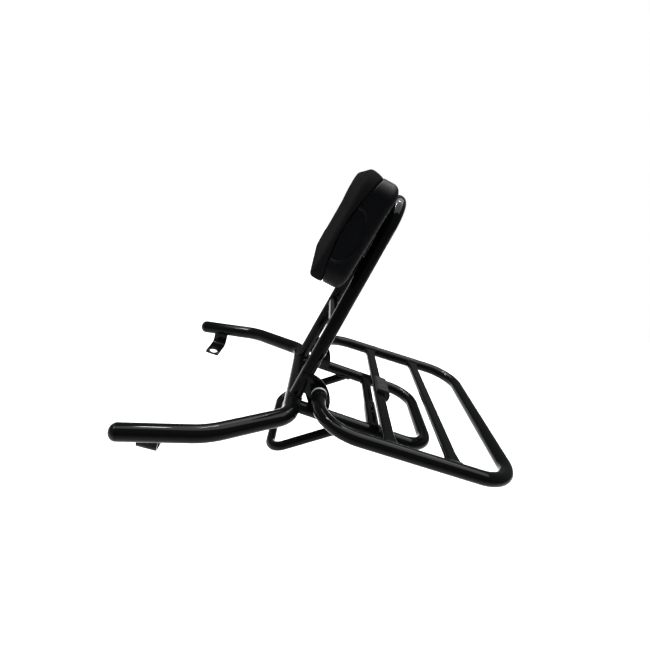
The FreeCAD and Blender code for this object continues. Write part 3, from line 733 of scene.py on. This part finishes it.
class RACK_OT_welds(bpy.types.Operator):
    """Lay the weld beads where the tubes meet"""

    bl_idname = "rack.welds"
    bl_label = "Weld beads"

    def execute(self, context):
        sizes = context.scene.rack_sizes
        frame_r, main_r = sizes.frame_tube / 2, sizes.main_tube / 2
        cross_r, brace_r = sizes.cross_tube / 2, sizes.brace_tube / 2
        leg_low, leg_run, foot_start, foot_run, bar_round = 8.0, 27.0, -4.0, 20.0, 44.0
        arm_run = [bend - tip for tip, bend in zip(ARM_TIP, ARM_BEND)]
        carrier, rack = bmesh.new(), bmesh.new()

        def ring(bm, start, goal, radius, axis_point, axis, tube_r):
            way = (goal - start).normalized()
            path = meeting_line(start, way, round_section(way, radius), axis_point, axis.normalized(), tube_r)
            bead(bm, path, 2 * math.pi * radius, sizes, True)

        def bar_section(share):
            off, rise = outline_point(outline_spot(share, *BAR_END, BAR_CORNER), *BAR_END, BAR_CORNER)
            return Vector((off, 0, rise)) * MM

        main_axis = Vector((0, 1, 0))
        main_point = at_hinge(CROSS_BACK, 0, CROSS_DROP)
        for side in (-1, 1):
            foot, top = (HOOP[0], HOOP[1]) if side < 0 else (HOOP[3], HOOP[2])
            ring(carrier, top, foot, frame_r, main_point, main_axis, main_r)
            loop_foot, loop_far = at_loop(CROSS_BACK, side * LOOP_Y), at_loop(LOOP_END_BACK, side * LOOP_Y)
            ring(carrier, loop_far, loop_foot, frame_r, main_point, main_axis, main_r)
            reach = leg_y(CROSS_HEIGHT)
            ring(carrier, lean_point(CROSS_HEIGHT, 0, 0), lean_point(CROSS_HEIGHT, 0, side * reach), cross_r,
                 foot, top - foot, frame_r)
            cross_radius = cross_r + SLEEVE_WALL * MM if side < 0 else cross_r
            ring(carrier, at_loop(LOOP_CROSS_BACK, 0), at_loop(LOOP_CROSS_BACK, side * LOOP_Y), cross_radius,
                 loop_foot, loop_far - loop_foot, frame_r)
            low = at_hinge(BRACKET_FRONT[0], side * BRACKET_Y, BRACKET_FRONT[1])
            high = at_hinge(BRACKET_TOP_BACK, side * BRACKET_Y, CROSS_DROP)
            ring(carrier, low, high, brace_r, loop_foot, loop_far - loop_foot, frame_r)
            for back in CROSSBARS.values():
                path = meeting_line(at_hinge(back, 0, 0), Vector((0, side, 0)), bar_section,
                                    at_hinge(back, side * RACK_Y, 0), Vector((1, 0, 0)), frame_r)
                bead(rack, path, bar_round * MM, sizes, True)

            def leg_line(share):
                height = leg_low + leg_run * share
                off = PLATE_OUTER_Y - leg_y(height)
                depth = math.sqrt(max(0.0, (frame_r / MM) ** 2 - off ** 2))
                return lean_point(height, depth, side * PLATE_OUTER_Y)

            def foot_line(share):
                off = LOOP_Y - PLATE_OUTER_Y
                rise = math.sqrt((frame_r / MM) ** 2 - off ** 2) * MM
                return at_loop(foot_start + foot_run * share, side * PLATE_OUTER_Y) + Vector((0, 0, rise))

            bead(carrier, leg_line, leg_run * MM, sizes, False)
            bead(carrier, foot_line, foot_run * MM, sizes, False)
            for wall in (-TAB_REACH - TAB_THICKNESS / 2, -TAB_REACH + TAB_THICKNESS / 2):

                def tab_line(share):
                    x = -TAB_HALF_WIDTH + 2 * TAB_HALF_WIDTH * share
                    rise = 20.0
                    # A few steps find the height at which the tab's wall meets the arm's underside
                    for _ in range(6):
                        spot = tab_spot(x, wall, rise)
                        ahead = (spot.x - HINGE_X - ARM_TIP[0]) / arm_run[0]
                        off = ARM_TIP[2] + arm_run[2] * ahead + spot.y
                        arm = HINGE_Z + ARM_TIP[1] + arm_run[1] * ahead
                        rise += arm - math.sqrt(max(0.0, (main_r / MM) ** 2 - off ** 2)) - spot.z
                    return Vector((spot.x, -side * spot.y, spot.z)) * MM

                bead(carrier, tab_line, 2 * TAB_HALF_WIDTH * MM, sizes, False)
        finish_piece(carrier, "welds_carrier", "carrier", "gloss_black_paint", "black_stove_enamel")
        finish_piece(rack, "welds_rack", "rack", "gloss_black_paint", "black_stove_enamel")
        return {"FINISHED"}


# Pad pieces

def pad_ring_sheet(bm, columns, rings, low, high, shift=None):
    """Wraps a grid round the pad: each ring gives an inset and a depth as a function of height, and shift
    moves a point sideways."""
    last = len(rings) - 1
    middle, half_high = (low + high) / 2, (high - low) / 2

    def place(round_share, ring_share):
        inset, depth = rings[round(ring_share * last)]
        spot = outline_spot(round_share, PAD_HALF, half_high, PAD_CORNER)
        corner = max(0.6, PAD_CORNER - inset)
        y, up = outline_point(spot, PAD_HALF - inset, half_high - inset, corner)
        height = middle + up
        far = depth(height)
        if shift:
            y = shift(y, height, far)
        return lean_point(height, far, y)

    wrapped_sheet(bm, columns, last, place)
    bmesh.ops.remove_doubles(bm, verts=bm.verts, dist=0.000005)
    bmesh.ops.holes_fill(bm, edges=[edge for edge in bm.edges if edge.is_boundary], sides=0)


def between(start, end, share):
    """A depth that lies a share of the way between two depth functions."""
    return lambda height: start(height) + (end(height) - start(height)) * share


def offset(depth, amount):
    """A depth function moved by an amount."""
    return lambda height: depth(height) + amount


def shell_rings():
    """The shell's section: from the middle of the inside outwards, over the lip, back along the side wall and
    in again over the rear."""
    wall, inner_r, rear_r = 3.0, 6.0, 8.5
    inner_steps, wall_steps, rear_steps = 5, 40, 10
    inner_rear = offset(rear_depth, -wall)
    rings = [(52.0, inner_rear), (30.0, inner_rear), (wall + inner_r, inner_rear)]
    for step in range(1, inner_steps):
        angle = step / inner_steps * math.pi / 2
        rings.append((wall + inner_r * (1 - math.sin(angle)),
                      offset(rear_depth, -wall - inner_r * (1 - math.cos(angle)))))
    rings += [(wall, offset(rear_depth, -wall - inner_r)), (wall, offset(seam_depth, 2.0)),
              (wall - 0.4, offset(seam_depth, 0.3)), (1.3, offset(seam_depth, 0.0)),
              (0.5, offset(seam_depth, 0.1)), (0.12, offset(seam_depth, 0.45)),
              (0.0, offset(seam_depth, 1.0))]
    start, end = offset(seam_depth, 1.0), offset(rear_depth, -rear_r)
    rings += [(0.0, between(start, end, step / wall_steps)) for step in range(1, wall_steps)]
    for step in range(0, rear_steps + 1):
        angle = step / rear_steps * math.pi / 2
        rings.append((rear_r * (1 - math.cos(angle)), offset(rear_depth, -rear_r * (1 - math.sin(angle)))))
    return rings + [(14.0, rear_depth), (30.0, rear_depth), (52.0, rear_depth)]


def side_recess(y, height, far):
    """Sinks a shallow field with a bowed edge into the shell's two sides and raises a ridge round it."""
    low, high, front, bow = 180.6, 233.5, -25.8, 10.2
    deep, blend, slope = 1.2, 1.6, 1.5
    ridge_high, ridge_out, ridge_wide = 0.5, 1.1, 0.7
    if abs(y) < PAD_HALF - 0.01:
        return y
    edge = front - bow * ((height - (low + high) / 2) / ((high - low) / 2)) ** 2
    gaps = (edge - far, high - height, height - low)
    inside = -math.log(sum(math.exp(-gap / blend) for gap in gaps)) * blend
    sunk = deep * smooth_step(inside / slope + 0.5)
    ridge = ridge_high * math.exp(-((inside + ridge_out) / ridge_wide) ** 2)
    return math.copysign(abs(y) - sunk + ridge, y)


class RACK_OT_shell(bpy.types.Operator):
    """Mould the pad shell with its lip and side recesses"""

    bl_idname = "rack.shell"
    bl_label = "Pad shell"

    def execute(self, context):
        bm = bmesh.new()
        pad_ring_sheet(bm, 760, shell_rings(), PAD_LOW, PAD_HIGH, side_recess)
        finish_piece(bm, "shell_moulding", "carrier", "shell_plastic", "black_moulded_shell",
                     ["pad_shell"], 60.0)
        return {"FINISHED"}


def crowned(y, height, crown):
    """How far the cushion's front stands forward of its rim."""
    roundness = 2.4
    across = min(1.0, abs(y) / PAD_HALF)
    up = min(1.0, abs(height - PAD_MIDDLE) / PAD_HALF_HIGH)
    return crown * (1 - across ** roundness) * (1 - up ** roundness)


def cushion_rings(base):
    """The cushion's section: from the middle of its back outwards, over the wall to the front's middle."""
    front_r, inset, tuck = 4.5, 0.1, 0.35
    wall_steps, front_steps = 8, 7
    rim_depth = offset(seam_depth, -0.1)
    rings = [(50.0, rim_depth), (25.0, rim_depth), (8.0, rim_depth), (inset + 1.6, rim_depth),
             (inset + 0.4, offset(rim_depth, -0.1)), (inset, offset(rim_depth, -0.6))]
    wall_start, wall_end = offset(rim_depth, -0.6), offset(base, front_r)
    for step in range(1, wall_steps):
        share = step / wall_steps
        rings.append((inset - tuck * math.sin(share * math.pi), between(wall_start, wall_end, share)))
    for step in range(0, front_steps + 1):
        angle = step / front_steps * math.pi / 2
        rings.append((inset + front_r * (1 - math.cos(angle)), offset(base, front_r * (1 - math.sin(angle)))))
    return rings + [(wide, base) for wide in (12.0, 20.0, 30.0, 42.0, 52.0)]


def even_mesh(piece, material):
    """Gives a piece a mesh of even cells, so that the cloth swells alike everywhere."""
    remesh = piece.modifiers.new("even", "REMESH")
    remesh.mode = "VOXEL"
    remesh.voxel_size = 0.0018
    remesh.use_smooth_shade = True
    graph = bpy.context.evaluated_depsgraph_get()
    even = bpy.data.meshes.new_from_object(piece.evaluated_get(graph))
    piece.modifiers.remove(remesh)
    piece.data = even
    even.materials.clear()
    even.materials.append(dressed(material))


def inflate(piece, swell):
    """Lets the cover swell as cloth with the foam's pressure, held along the seam, and keeps the result."""
    mesh = piece.data
    start = [vert.co.copy() for vert in mesh.vertices]
    held = piece.vertex_groups.new(name="held")
    held_reach, free_run, frames = 2.0, 7.0, 20
    for vert in mesh.vertices:
        height, depth = in_lean(vert.co)
        weight = 1 - smooth_step((seam_depth(height) - depth - held_reach) / free_run)
        if weight > 0:
            held.add([vert.index], weight, "REPLACE")
    cloth = piece.modifiers.new("cover", "CLOTH")
    settings = cloth.settings
    settings.quality = 6
    settings.mass = 0.3
    settings.tension_stiffness = 60
    settings.compression_stiffness = 60
    settings.bending_stiffness = 8
    settings.vertex_group_mass = "held"
    settings.pin_stiffness = 1.0
    settings.use_pressure = True
    settings.uniform_pressure_force = 4.0
    settings.effector_weights.gravity = 0.0
    cloth.point_cache.frame_start, cloth.point_cache.frame_end = 1, frames
    scene = bpy.context.scene
    for step in range(1, frames + 1):
        scene.frame_set(step)
    graph = bpy.context.evaluated_depsgraph_get()
    moved = [vert.co.copy() for vert in piece.evaluated_get(graph).data.vertices]
    piece.modifiers.remove(cloth)
    ways = [vert.normal.copy() for vert in mesh.vertices]
    outs = [(new - old).dot(way) for old, new, way in zip(start, moved, ways)]
    for vert, old, out, way in zip(mesh.vertices, start, outs, ways):
        vert.co = old + way * min(swell, max(0.0, out))
    scene.frame_set(1)
    piece.vertex_groups.clear()


class RACK_OT_cushion(bpy.types.Operator):
    """Cover the cushion: a crowned form that swells from its seam"""

    bl_idname = "rack.cushion"
    bl_label = "Cushion"

    def execute(self, context):
        sizes = context.scene.rack_sizes
        crown, crown_share = sizes.crown / MM, 0.6
        crown_run, rise_run = 8.0, 16.0
        bm = bmesh.new()
        pad_ring_sheet(bm, 300, cushion_rings(offset(front_depth, crown * crown_share)), CUSHION_LOW,
                       CUSHION_HIGH)
        bmesh.ops.triangulate(bm, faces=[face for face in bm.faces if len(face.verts) > 4])
        for vert in bm.verts:
            height, depth = in_lean(vert.co)
            ahead = seam_depth(height) - depth
            bulge = crowned(vert.co.y / MM, height, crown) * smooth_step(ahead / crown_run)
            vert.co -= LEAN_BACK * (bulge * MM)
            rise = max(0.0, (height - PAD_MIDDLE) / PAD_HALF_HIGH) ** 3 * min(1.0, max(0.0, ahead / rise_run))
            vert.co += LEAN_UP * (CUSHION_RISE * rise * MM)
        piece = finish_piece(bm, "cushion_cover", "carrier", "cushion_cover", "black_leathercloth",
                             ["pad_cushion"], 80.0)
        even_mesh(piece, "black_leathercloth")
        inflate(piece, sizes.swell)
        bm = bmesh.new()
        bm.from_mesh(piece.data)
        for _ in range(2):
            bmesh.ops.smooth_vert(bm, verts=bm.verts, factor=0.5, use_axis_x=True, use_axis_y=True,
                                  use_axis_z=True)
        bm.to_mesh(piece.data)
        bm.free()
        finer = piece.modifiers.new("finer", "SUBSURF")
        finer.levels = 1
        finer.render_levels = 1
        piece.data.shade_smooth()
        return {"FINISHED"}


# Stage

def place_camera(scene):
    """Sets the camera by the focal length and optical centre found for the photo, in its own pixels."""
    picture, focal, centre_x, centre_y = 650.0, 420.0, 299.34, 332.29
    data = bpy.data.cameras.new("camera")
    data.sensor_width = 36.0
    data.lens = data.sensor_width * focal / picture
    data.shift_x = (picture / 2 - centre_x) / picture
    data.shift_y = (centre_y - picture / 2) / picture
    data.clip_start, data.clip_end = 0.01, 60.0
    camera = bpy.data.objects.new("camera", data)
    scene.collection.objects.link(camera)
    camera.location = (0.10431, -0.51466, 0.31575)
    camera.rotation_euler = tuple(math.radians(angle) for angle in (68.7524, -17.0791, 4.4453))
    scene.camera = camera


def spread_paper(scene, colour):
    """Lays a wide round floor of paper under the rack, with a low curved rim."""
    bm = bmesh.new()
    disc = bmesh.ops.create_circle(bm, cap_ends=False, segments=96, radius=0.01)
    edges = list({edge for vert in disc["verts"] for edge in vert.link_edges})
    bmesh.ops.contextual_create(bm, geom=edges)
    for radius, height in ((3.2, 0.0), (3.6, 0.03), (4.0, 0.12), (4.3, 0.3)):
        made = bmesh.ops.extrude_edge_only(bm, edges=edges)["geom"]
        for vert in (item for item in made if isinstance(item, bmesh.types.BMVert)):
            flat = Vector((vert.co.x, vert.co.y, 0)).normalized()
            vert.co = Vector((flat.x * radius, flat.y * radius, height))
        edges = rim(made)
    bmesh.ops.translate(bm, verts=bm.verts, vec=(0.18, 0, -0.45))
    mesh = bpy.data.meshes.new("studio_floor")
    bm.to_mesh(mesh)
    bm.free()
    mesh.shade_smooth()
    mesh.materials.append(studio_paper(colour))
    floor = bpy.data.objects.new("studio_floor", mesh)
    scene.collection.objects.link(floor)


def hang_lamps(scene):
    """Hangs the wide soft lamps and the small ones whose streaks show along the tubes."""
    for name, place, target, size, power in (
            ("overhead", (0.15, 0.7, 2.2), (0.15, 1.2, 0.0), (3.0, 3.0), 125.0),
            ("backdrop_wash", (0.3, 1.2, 2.9), (0.6, 4.2, 0.6), (3.0, 1.0), 90.0),
            ("arm_glint", (-0.55, 0.07, 1.06), (-0.02, -0.14, 0.03), (0.07, 0.12), 4.5),
            ("bend_glint_front", (-0.25, 0.22, 1.16), (0.17, -0.13, 0.08), (0.3, 0.025), 5.0),
            ("bend_glint_rear", (0.16, 0.38, 1.16), (0.17, -0.13, 0.08), (0.14, 0.03), 3.5)):
        light = bpy.data.lights.new(name, "AREA")
        light.shape = "RECTANGLE"
        light.size, light.size_y = size
        light.energy = power
        lamp = bpy.data.objects.new(name, light)
        scene.collection.objects.link(lamp)
        lamp.location = place
        lamp.rotation_euler = (Vector(target) - Vector(place)).to_track_quat("-Z", "Y").to_euler()


class RACK_OT_stage(bpy.types.Operator):
    """Set the floor, the soft studio light and the camera"""

    bl_idname = "rack.stage"
    bl_label = "Stage"

    def execute(self, context):
        scene = context.scene
        place_camera(scene)
        spread_paper(scene, scene.rack_finish.floor)
        hang_lamps(scene)
        scene.view_settings.view_transform = "Standard"
        scene.world = white_backdrop()
        return {"FINISHED"}


class RACK_PT_panel(bpy.types.Panel):
    """The steps that build the rack"""

    bl_idname = "RACK_PT_panel"
    bl_label = "Luggage rack"
    bl_space_type = "VIEW_3D"
    bl_region_type = "UI"
    bl_category = "Rack"

    def draw(self, context):
        for group in (context.scene.rack_sizes, context.scene.rack_finish):
            for name in group.bl_rna.properties.keys():
                if name not in ("rna_type", "name"):
                    self.layout.prop(group, name)
        for step in STEPS:
            self.layout.operator(step.bl_idname)


STEPS = (RACK_OT_stage, RACK_OT_materials, RACK_OT_main_bar, RACK_OT_carrier_tubes, RACK_OT_plates,
         RACK_OT_hardware, RACK_OT_rack, RACK_OT_buffer, RACK_OT_welds, RACK_OT_shell, RACK_OT_cushion)
CLASSES = (RackSizes, RackFinish, *STEPS, RACK_PT_panel)


def register():
    for item in CLASSES:
        bpy.utils.register_class(item)
    bpy.types.Scene.rack_sizes = bpy.props.PointerProperty(type=RackSizes)
    bpy.types.Scene.rack_finish = bpy.props.PointerProperty(type=RackFinish)


def unregister():
    del bpy.types.Scene.rack_sizes
    del bpy.types.Scene.rack_finish
    for item in reversed(CLASSES):
        bpy.utils.unregister_class(item)


def main():
    """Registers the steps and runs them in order."""
    register()
    for step in STEPS:
        group, name = step.bl_idname.split(".")
        getattr(getattr(bpy.ops, group), name)()


if __name__ == "__main__":
    main()
